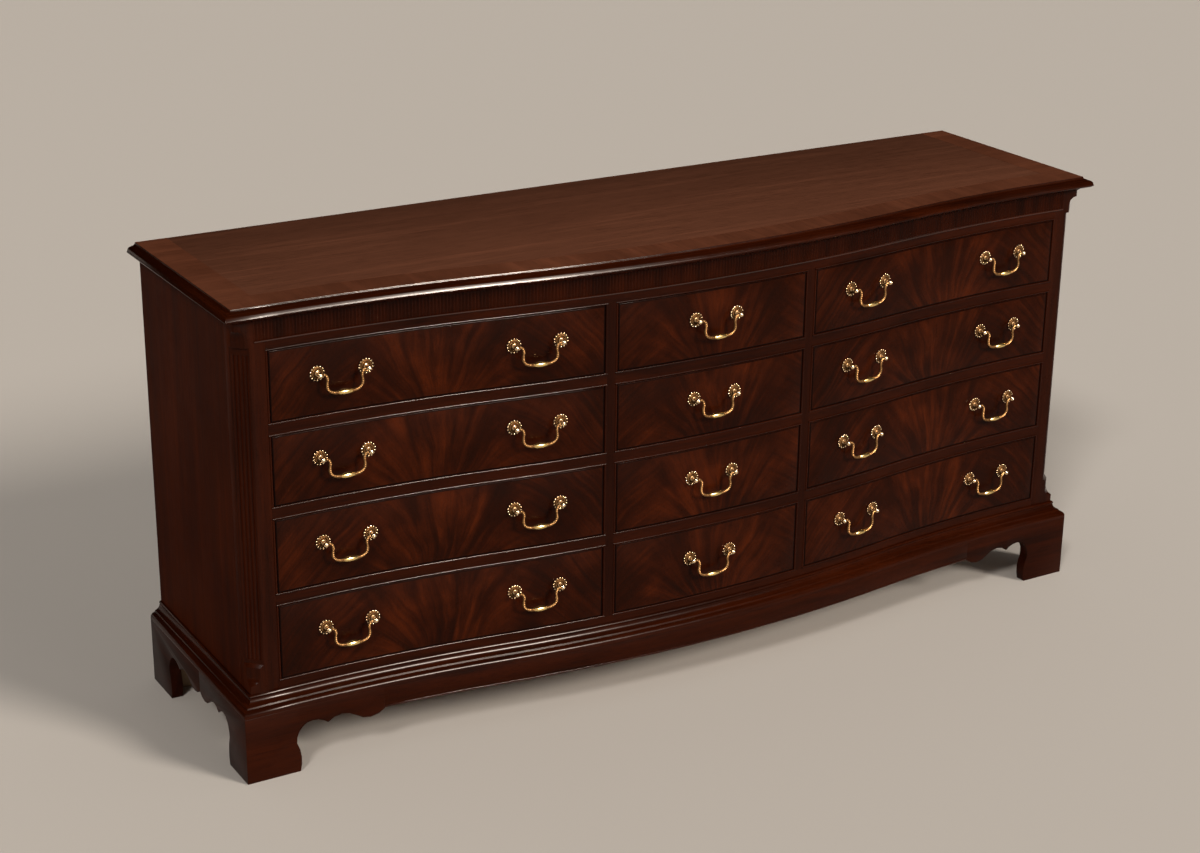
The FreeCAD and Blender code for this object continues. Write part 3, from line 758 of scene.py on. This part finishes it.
class DRESSER_OT_case(bpy.types.Operator):
    """Rails, dividers, fluted frieze, canted posts, sides and back"""

    bl_idname = "dresser.case"
    bl_label = "Case"

    def execute(self, context):
        woodwork = context.scene.dresser_woodwork
        rails = eased_copy("front_frame", "rails_and_dividers", "case", 0)
        dividers = (2, 3)
        paint(rails, ["mahogany_x", "mahogany_z"], lambda solid, normal, centre: int(solid in dividers))
        frieze = eased_copy("frieze", "fluted_frieze", "case", 0)
        # The frieze's bead takes the arris finish, whose lighter tone is a painted highlight.
        paint(frieze, ["arris_x", "carved_z"], lambda solid, normal, centre: int(solid == 0))
        for side in ("left", "right"):
            name = "canted_post_" + side
            post = eased_copy("corner_post_" + side, name, "case", woodwork.fine_ease)
            paint(post, ["carved_z", "side_veneer_painted_light", "moulding_z"], self.choose_post)
        plain = {
            "side_panels": "side_veneer_painted_light",
            "back_panel": "back_board",
            "partitions_and_runners": "inner_wood_y",
        }
        for node, material in plain.items():
            frame["nodes"][node].material_slots[0].material = bpy.data.materials[material]
        return {"FINISHED"}

    @staticmethod
    def choose_post(solid, normal, centre):
        # Faces turned sideways take the side veneer, whose lighter tone is painted light.
        if abs(normal.x) > 0.95:
            return 1
        return 2 if 0.2 < normal.z < 0.97 else 0


def bead_pattern():
    """Straight strip one metre long with a rounded nose, cut into steps."""
    woodwork = bpy.context.scene.dresser_woodwork
    bpy.ops.mesh.primitive_cube_add(
        size=1, location=(0.5, BEAD_DEPTH / 2, BEAD_THICKNESS / 2), scale=(1, BEAD_DEPTH, BEAD_THICKNESS)
    )
    strip = new_piece("bead_pattern")
    settle(strip)
    edit(strip)
    bpy.ops.mesh.select_mode(type="EDGE")
    bpy.ops.mesh.select_all(action="DESELECT")
    shell = bmesh.from_edit_mesh(strip.data)
    for edge in shell.edges:
        low, high = (vertex.co for vertex in edge.verts)
        lengthwise = abs(low.x - high.x) > 0.5
        edge.select_set(lengthwise and max(low.y, high.y) < BEAD_DEPTH / 2)
    bmesh.update_edit_mesh(strip.data)
    bpy.ops.mesh.bevel(offset=woodwork.bead_nose, segments=4)
    for step in range(1, woodwork.bead_steps):
        bpy.ops.mesh.select_all(action="SELECT")
        bpy.ops.mesh.bisect(plane_co=(step / woodwork.bead_steps, 0, 0), plane_no=(1, 0, 0))
    leave()
    return strip


class DRESSER_OT_beads(bpy.types.Operator):
    """Cock beads with rounded noses round the twelve openings"""

    bl_idname = "dresser.beads"
    bl_label = "Cock beads"

    def execute(self, context):
        woodwork = context.scene.dresser_woodwork
        pattern = bead_pattern()
        inset = FACE_INSET - woodwork.bead_proud
        back = FRAME_BOX[1].y
        gap, foot_gap = 1.5 * MM, 0.5 * MM
        strips = []

        def lay(x0, x1, z0, z1):
            """One strip; the longer way is its length."""
            strip = duplicate(pattern, "bead")
            upright = z1 - z0 > x1 - x0
            for vertex in strip.data.vertices:
                along, deep, thick = vertex.co.x, vertex.co.y, vertex.co.z / BEAD_THICKNESS
                x = x0 + (x1 - x0) * (1 - thick if upright else along)
                z = z0 + (z1 - z0) * (along if upright else thick)
                y = back if deep > BEAD_DEPTH / 2 else front_y(x, inset) + deep
                vertex.co = (x, y, z)
            coat(strip, "moulding_z" if upright else "bead_x")
            strips.append(strip)

        for name in DRAWER_NAMES:
            low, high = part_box("drawer_" + name)
            x0, x1 = low.x - gap, high.x + gap
            z0, z1 = low.z - foot_gap, high.z + gap
            outer_left, outer_right = x0 - BEAD_THICKNESS, x1 + BEAD_THICKNESS
            lay(outer_left, outer_right, z1, z1 + BEAD_THICKNESS)
            lay(outer_left, outer_right, z0 - BEAD_THICKNESS, z0)
            lay(outer_left, x0, z0, z1)
            lay(x1, outer_right, z0, z1)
        beads = join("rounded_beads", strips)
        discard(pattern)
        edit(beads)
        bpy.ops.mesh.select_all(action="SELECT")
        bpy.ops.mesh.normals_make_consistent(inside=False)
        leave()
        smooth(beads, woodwork.crease)
        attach(beads, "case")
        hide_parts("cock_beads")
        return {"FINISHED"}


class DRESSER_OT_base(bpy.types.Operator):
    """Base moulding, apron and scalloped bracket feet"""

    bl_idname = "dresser.base"
    bl_label = "Base"

    def execute(self, context):
        woodwork = context.scene.dresser_woodwork
        fine_ease = woodwork.fine_ease
        moulding = eased_copy("base_moulding", "rounded_base_moulding", "case", fine_ease)
        paint(moulding, ["moulding_x", "moulding_y"], lambda solid, normal, centre: min(solid, 1))
        apron = eased_copy("base_frame", "beaded_apron", "case", fine_ease)
        apron_woods = ["mahogany_x", "bead_x", "inner_wood_x"]
        paint(apron, apron_woods, lambda solid, normal, centre: min(solid, 2))
        for place in ("front_left", "front_right", "back_left", "back_right"):
            foot = eased_copy("foot_" + place, "bracket_foot_" + place, "case", woodwork.ease)
            choices = (0, 1, 2) if place.startswith("front") else (1, 2, 2)
            foot_woods = ["mahogany_x", "mahogany_y", "inner_wood_z"]
            paint(foot, foot_woods, lambda solid, normal, centre: choices[min(solid, 2)])
        return {"FINISHED"}


class DRESSER_OT_drawers(bpy.types.Operator):
    """Twelve drawers with flame-veneered fronts"""

    bl_idname = "dresser.drawers"
    bl_label = "Drawers"

    def execute(self, context):
        woodwork = context.scene.dresser_woodwork
        heart = {"left": 0.49, "centre": 0.54, "right": 0.54}
        column_step, row_step = 5.3, 0.23
        for name in DRAWER_NAMES:
            column, row = name.split("_")
            low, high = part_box("drawer_" + name)
            seed = COLUMNS.index(column) * column_step + int(row) * row_step
            veneer = "flame_" + name
            flame_wood(veneer, low, high, heart[column], seed)
            body = "drawer_" + name
            piece = eased_copy(body, "figured_drawer_" + name, body, woodwork.ease)
            woods = [veneer, "mahogany_x", "inner_wood_y", "inner_wood_x", "bead_x"]
            paint(piece, woods, self.choose_drawer)
        return {"FINISHED"}

    @staticmethod
    def choose_drawer(solid, normal, centre):
        if solid == 0 and 0.2 < normal.z < 0.9:
            return 4
        if solid == 0:
            return 0 if normal.y < -0.5 else 1
        return 2 if solid in (1, 2) else 3


# Handles


def turned(name, profile, steps):
    """Turning about the outward axis -Y; the profile is in (radius, out)."""
    bpy.ops.mesh.primitive_plane_add(size=1 * MM)
    piece = new_piece(name)
    edit(piece)
    bpy.ops.mesh.select_all(action="SELECT")
    bpy.ops.mesh.merge(type="CENTER")
    radius, out = profile[0]
    bpy.ops.transform.translate(value=(radius * MM, -out * MM, 0))
    for next_radius, next_out in profile[1:]:
        step = ((next_radius - radius) * MM, (out - next_out) * MM, 0)
        bpy.ops.mesh.extrude_region_move(TRANSFORM_OT_translate={"value": step})
        radius, out = next_radius, next_out
    bpy.ops.mesh.select_all(action="SELECT")
    bpy.ops.mesh.spin(steps=steps, angle=2 * math.pi, center=(0, 0, 0), axis=(0, -1, 0))
    bpy.ops.mesh.select_all(action="SELECT")
    bpy.ops.mesh.remove_doubles(threshold=0.005 * MM)
    bpy.ops.mesh.normals_make_consistent(inside=False)
    leave()
    return piece


def ring_of(name, count, spot_radius, out, size, stretch, lean=0.0):
    """Ring of small rounded grains on a rosette; stretch is (radial, out, along the ring)."""
    grains = []
    for index in range(count):
        angle = 2 * math.pi * (index + 0.5) / count
        bpy.ops.mesh.primitive_uv_sphere_add(segments=10, ring_count=7, radius=size)
        grain = new_piece(name)
        grain.scale = stretch
        grain.rotation_euler = (0, lean - angle, 0)
        grain.location = (spot_radius * math.cos(angle), -out, spot_radius * math.sin(angle))
        settle(grain)
        grains.append(grain)
    return grains


def rosette_pattern():
    """Pearled rosette with its post, bored on the +X side; out is -Y, from the seat."""
    handles = bpy.context.scene.dresser_handles
    rim_start, rim_out, crest_out = 10.3 * MM, 1.0 * MM, 3.1 * MM
    drill_length, drill_middle = 8 * MM, 5 * MM
    pearl_out, pearl_stretch = 1.3 * MM, (1.05, 0.9, 1.0)
    swirl_count, swirl_circle, swirl_out, swirl_size = 12, 6.2 * MM, 1.1 * MM, 1.0 * MM
    # radius and height over the seat in millimetres
    profile = [
        (0, 0), (10.9, 0), (11.1, 0.5), (10.7, 0.9), (10.0, 1.0), (9.8, 1.5), (9.5, 2.4),
        (8.9, 2.95), (8.2, 2.75), (7.8, 2.0), (7.5, 1.1), (6.8, 0.7), (5.6, 0.7), (5.0, 1.3),
        (4.6, 2.6), (3.9, 3.1), (2.9, 3.3), (2.4, 4.4), (2.2, 6.6), (2.4, 8.6), (3.1, 9.8),
        (3.7, 10.2), (3.4, 10.9), (4.2, 12.3), (4.7, 14.0), (4.75, 15.6), (4.4, 17.1), (3.6, 18.2),
        (2.5, 18.7), (2.2, 18.8), (2.3, 19.4), (1.5, 20.0), (0, 20.2),
    ]
    body = turned("rosette_body", profile, handles.turning_steps)
    bpy.ops.mesh.primitive_cylinder_add(
        vertices=20, radius=handles.bore, depth=drill_length,
        location=(drill_middle, -handles.reach, 0), rotation=(0, math.pi / 2, 0),
    )
    drill = new_piece("drill")
    apply_modifier(body, "BOOLEAN", operation="DIFFERENCE", object=drill, solver="EXACT")
    discard(drill)
    count, circle = handles.pearl_count, handles.pearl_circle
    pearls = ring_of("pearl", count, circle, pearl_out, handles.pearl, pearl_stretch)
    swirl = ring_of("swirl", swirl_count, swirl_circle, swirl_out, swirl_size, (1.5, 0.9, 0.7), lean=0.7)
    pattern = join("rosette_pattern", [body] + pearls + swirl)
    coat(pattern, "cast_brass", "rubbed_brass")
    for face in pattern.data.polygons:
        out = -face.center.y
        rim = math.hypot(face.center.x, face.center.z) > rim_start and out > rim_out
        face.material_index = int(rim or out > crest_out)
    smooth(pattern, CAST_CREASE)
    return pattern


def handle_place(bail):
    """Turn and place of a handle on its drawer face, from the bail's hinge."""
    handles = bpy.context.scene.dresser_handles
    joint = next(j for j in frame["joints"] if j["child"] == bail)
    axis = Vector(joint["axis"])
    turn = math.atan2(-axis.y, -axis.x)
    outward = Vector((math.sin(turn), -math.cos(turn), 0))
    seat = Vector(joint["pos_m"]) - outward * handles.reach
    return Matrix.Translation(seat) @ Matrix.Rotation(turn, 4, "Z")


def bails_of(drawer):
    return sorted(j["child"] for j in frame["joints"] if j["parent"] == "drawer_" + drawer)


def seat_of(drawer, place):
    """How far the rosettes of a handle stand off the tangent at its middle."""
    handles = bpy.context.scene.dresser_handles
    mesh = frame["nodes"]["handle_mounts_" + drawer].data
    inverse = place.inverted()
    spots = [inverse @ vertex.co for vertex in mesh.vertices]
    return min(-spot.y for spot in spots if abs(spot.x) < handles.boring)


def put(pattern, name, matrix):
    piece = duplicate(pattern, name)
    piece.matrix_world = matrix
    settle(piece)
    return piece


class DRESSER_OT_handle_mounts(bpy.types.Operator):
    """Pearled rosettes and posts of the twenty handles"""

    bl_idname = "dresser.handle_mounts"
    bl_label = "Rosettes and posts"

    def execute(self, context):
        handles = context.scene.dresser_handles
        pattern = rosette_pattern()
        for drawer in DRAWER_NAMES:
            pieces = []
            for bail in bails_of(drawer):
                place = handle_place(bail)
                seat = seat_of(drawer, place)
                for side in (-1, 1):
                    spot = Matrix.Translation((side * handles.boring / 2, -seat, 0))
                    flip = Matrix.Rotation(0 if side < 0 else math.pi, 4, "Y")
                    pieces.append(put(pattern, "mount", place @ spot @ flip))
            mounts = join("rosettes_" + drawer, pieces)
            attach(mounts, "drawer_" + drawer)
            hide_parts("handle_mounts_" + drawer)
        discard(pattern)
        return {"FINISHED"}


def bail_pattern():
    """Swan-neck bail, its hinge on the X axis and its grip hanging down."""
    grip_half = 12.5 * MM
    # across, down and radius in millimetres, from the pin to the grip
    half = [
        (43.4, 0, 1.5), (40.0, 0, 1.5), (38.9, 0, 2.4), (37.6, 0, 3.0), (36.2, 0.1, 2.5), (34.2, 1.2, 2.3),
        (32.5, 3.8, 2.35), (31.7, 7.5, 2.5), (31.6, 11.0, 2.6), (32.0, 13.2, 2.0), (32.4, 16.0, 2.3),
        (32.7, 20.0, 2.6), (32.0, 24.5, 2.6), (29.6, 28.9, 2.4), (26.0, 32.0, 2.6), (21.5, 34.0, 2.8),
        (17.5, 34.7, 2.9), (15.2, 34.9, 3.0), (13.2, 35.0, 3.2), (10.0, 35.0, 4.0), (5.5, 35.0, 4.8),
    ]
    stations = [(-across, down, radius) for across, down, radius in half]
    stations += [(0, 35.0, 5.1)] + half[::-1]
    curve = bpy.data.curves.new("bail_pattern", "CURVE")
    curve.dimensions = "3D"
    curve.resolution_u = 3
    curve.bevel_depth = 1 * MM
    curve.bevel_resolution = 4
    curve.use_fill_caps = True
    spline = curve.splines.new("BEZIER")
    spline.bezier_points.add(len(stations) - 1)
    spline.radius_interpolation = "CARDINAL"
    for spot, (across, down, radius) in zip(spline.bezier_points, stations):
        spot.co = (across * MM, 0, -down * MM)
        spot.handle_left_type = spot.handle_right_type = "AUTO"
        spot.radius = radius
    wire = bpy.data.objects.new("bail_pattern", curve)
    bpy.context.scene.collection.objects.link(wire)
    select_only(wire)
    bpy.ops.object.convert(target="MESH")
    pieces = [new_piece("bail_wire")]
    for across, down, radius, lean, ring_radius in leaf_rings(half):
        for side in (-1, 1):
            bpy.ops.mesh.primitive_torus_add(
                location=(side * across * MM, 0, -down * MM),
                rotation=(0, math.pi / 2 + side * lean, 0),
                major_radius=radius * MM, minor_radius=ring_radius * MM,
                major_segments=14, minor_segments=6,
            )
            ring = new_piece("ring")
            settle(ring)
            pieces.append(ring)
    pattern = join("bail_pattern", pieces)
    coat(pattern, "cast_brass", "grip_brass")
    for face in pattern.data.polygons:
        face.material_index = int(abs(face.center.x) < grip_half)
    smooth(pattern, CAST_CREASE)
    return pattern


def leaf_rings(half):
    """Rings that give the bail its leafy neck and the crossed ribbons beside the grip."""
    # across, down, radius, lean in radians and radius of the ring itself
    rings = [(13.8, 35.0, 3.4, 0.6, 0.75), (13.8, 35.0, 3.4, -0.6, 0.75), (17.0, 34.8, 2.8, 0.0, 0.7)]
    leaf_pitch, leaf_lean, leaf_sink, leaf_radius = 3.7, 0.5, 0.1, 0.85
    neck_start, neck_end = 4, 17
    travelled, wanted = 0.0, 4.0
    for before, after in zip(half[neck_start:], half[neck_start + 1:neck_end]):
        length = math.dist(before[:2], after[:2])
        while wanted <= travelled + length:
            share = (wanted - travelled) / length
            across, down, radius = (a + (b - a) * share for a, b in zip(before, after))
            heading = math.atan2(after[1] - before[1], before[0] - after[0])
            rings.append((across, down, radius - leaf_sink, heading + leaf_lean, leaf_radius))
            wanted += leaf_pitch
        travelled += length
    return rings


class DRESSER_OT_bails(bpy.types.Operator):
    """Twenty swan-neck bails"""

    bl_idname = "dresser.bails"
    bl_label = "Bails"

    def execute(self, context):
        handles = context.scene.dresser_handles
        pattern = bail_pattern()
        for drawer in DRAWER_NAMES:
            for bail in bails_of(drawer):
                place = handle_place(bail) @ Matrix.Translation((0, -handles.reach, 0))
                piece = put(pattern, bail.replace("bail", "cast_bail"), place)
                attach(piece, bail)
                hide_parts(bail)
        discard(pattern)
        return {"FINISHED"}


def fixing(name, sides, radius, length, chamfer):
    """Short bar with chamfered ends, along +Y from the origin."""
    bpy.ops.mesh.primitive_cylinder_add(
        vertices=sides, radius=radius, depth=length,
        location=(0, length / 2, 0), rotation=(math.pi / 2, 0, 0),
    )
    piece = new_piece(name)
    settle(piece)
    apply_modifier(piece, "BEVEL", width=chamfer, segments=2, limit_method="ANGLE")
    return piece


class DRESSER_OT_fixings(bpy.types.Operator):
    """Nuts and screw ends behind the drawer fronts"""

    bl_idname = "dresser.fixings"
    bl_label = "Nuts"

    def execute(self, context):
        handles = context.scene.dresser_handles
        clearance = 0.1 * MM
        nut_height, nut_chamfer = 3.2 * MM, 0.4 * MM
        stud_radius, stud_length, stud_chamfer = 2 * MM, 6 * MM, 0.3 * MM
        depth = handles.front_thickness + clearance
        nut = fixing("nut", 6, handles.nut, nut_height, nut_chamfer)
        stud = fixing("stud", 12, stud_radius, stud_length, stud_chamfer)
        pattern = join("nut_pattern", [nut, stud])
        coat(pattern, "steel")
        smooth(pattern, math.radians(35))
        for drawer in DRAWER_NAMES:
            pieces = []
            for bail in bails_of(drawer):
                place = handle_place(bail)
                for side in (-1, 1):
                    spot = Matrix.Translation((side * handles.boring / 2, depth, 0))
                    pieces.append(put(pattern, "nut", place @ spot))
            nuts = join("nuts_" + drawer, pieces)
            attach(nuts, "drawer_" + drawer)
        discard(pattern)
        return {"FINISHED"}


class DRESSER_OT_studio(bpy.types.Operator):
    """Pale floor, soft lamps and the camera"""

    bl_idname = "dresser.studio"
    bl_label = "Studio"

    def execute(self, context):
        studio = context.scene.dresser_studio
        scene = context.scene
        floor_size, lamp_distance, sensor_width = 60, 4, 36
        bpy.ops.mesh.primitive_plane_add(size=floor_size)
        floor = new_piece("studio_floor")
        shader = material_tree("studio_floor").nodes["Principled BSDF"]
        shader.inputs["Base Color"].default_value = (*studio.floor, 1)
        shader.inputs["Roughness"].default_value = 0.75
        shader.inputs["Specular IOR Level"].default_value = 0.2
        coat(floor, "studio_floor")

        world = bpy.data.worlds.new("studio_room")
        world.use_nodes = True
        room = world.node_tree.nodes["Background"]
        room.inputs["Color"].default_value = (1.0, 0.97, 0.93, 1)
        room.inputs["Strength"].default_value = studio.sky
        world.cycles_visibility.glossy = False
        scene.world = world

        # name, turn and height in degrees, strength, softness in degrees and tint
        lamps = (
            ("key_lamp", 32, 29, studio.key, 15, (1.0, 0.94, 0.86)),
            ("glint_lamp", 14, 28, studio.glint, 8, (1.0, 0.86, 0.74)),
            ("fill_lamp", -48, 42, studio.fill, 10, (1.0, 0.97, 0.93)),
        )
        for name, turn, height, strength, softness, tint in lamps:
            turn, height = math.radians(turn), math.radians(height)
            flat = math.cos(height)
            source = Vector((math.sin(turn) * flat, -math.cos(turn) * flat, math.sin(height)))
            bpy.ops.object.light_add(type="SUN", location=source * lamp_distance)
            lamp = bpy.context.active_object
            lamp.name = name
            lamp.data.energy = strength
            lamp.data.angle = math.radians(softness)
            lamp.data.color = tint
            lamp.visible_diffuse = name != "glint_lamp"
            lamp.visible_glossy = name != "key_lamp"
            lamp.rotation_euler = (-source).to_track_quat("-Z", "Y").to_euler()

        az, el, roll = studio.azimuth, studio.elevation, studio.roll
        forward = Vector((-math.sin(az) * math.cos(el), math.cos(az) * math.cos(el), -math.sin(el)))
        level = Vector((math.cos(az), math.sin(az), 0))
        rise = level.cross(forward)
        right = level * math.cos(roll) + rise * math.sin(roll)
        up = rise * math.cos(roll) - level * math.sin(roll)
        bpy.ops.object.camera_add()
        camera = bpy.context.active_object
        camera.name = "studio_camera"
        camera.data.lens = studio.focal_length
        camera.data.sensor_width = sensor_width
        turn = Matrix((right, up, -forward)).transposed().to_4x4()
        camera.matrix_world = Matrix.Translation(studio.camera_place) @ turn
        scene.camera = camera
        scene.view_settings.view_transform = "Standard"
        return {"FINISHED"}


class DRESSER_PT_pieces(bpy.types.Panel):
    """Pieces and settings of the dresser"""

    bl_idname = "DRESSER_PT_pieces"
    bl_label = "Serpentine dresser"
    bl_space_type = "VIEW_3D"
    bl_region_type = "UI"
    bl_category = "Dresser"

    def draw(self, context):
        for operator in OPERATORS:
            self.layout.operator(operator.bl_idname)
        for name in SETTINGS:
            group = getattr(context.scene, name)
            box = self.layout.box()
            for key in group.bl_rna.properties.keys():
                if key not in ("rna_type", "name"):
                    box.prop(group, key)


SETTINGS = {
    "dresser_plan": DresserPlan,
    "dresser_woodwork": DresserWoodwork,
    "dresser_handles": DresserHandles,
    "dresser_colours": DresserColours,
    "dresser_studio": DresserStudio,
}
OPERATORS = (
    DRESSER_OT_finishes,
    DRESSER_OT_top,
    DRESSER_OT_case,
    DRESSER_OT_beads,
    DRESSER_OT_base,
    DRESSER_OT_drawers,
    DRESSER_OT_handle_mounts,
    DRESSER_OT_bails,
    DRESSER_OT_fixings,
    DRESSER_OT_studio,
)


def register():
    for group in SETTINGS.values():
        bpy.utils.register_class(group)
    for operator in OPERATORS:
        bpy.utils.register_class(operator)
    bpy.utils.register_class(DRESSER_PT_pieces)
    for name, group in SETTINGS.items():
        setattr(bpy.types.Scene, name, PointerProperty(type=group))


def unregister():
    for name in SETTINGS:
        delattr(bpy.types.Scene, name)
    bpy.utils.unregister_class(DRESSER_PT_pieces)
    for operator in reversed(OPERATORS):
        bpy.utils.unregister_class(operator)
    for group in reversed(list(SETTINGS.values())):
        bpy.utils.unregister_class(group)


def main():
    register()
    bpy.ops.dresser.finishes()
    bpy.ops.dresser.top()
    bpy.ops.dresser.case()
    bpy.ops.dresser.beads()
    bpy.ops.dresser.base()
    bpy.ops.dresser.drawers()
    bpy.ops.dresser.handle_mounts()
    bpy.ops.dresser.bails()
    bpy.ops.dresser.fixings()
    bpy.ops.dresser.studio()


if __name__ == "__main__":
    main()
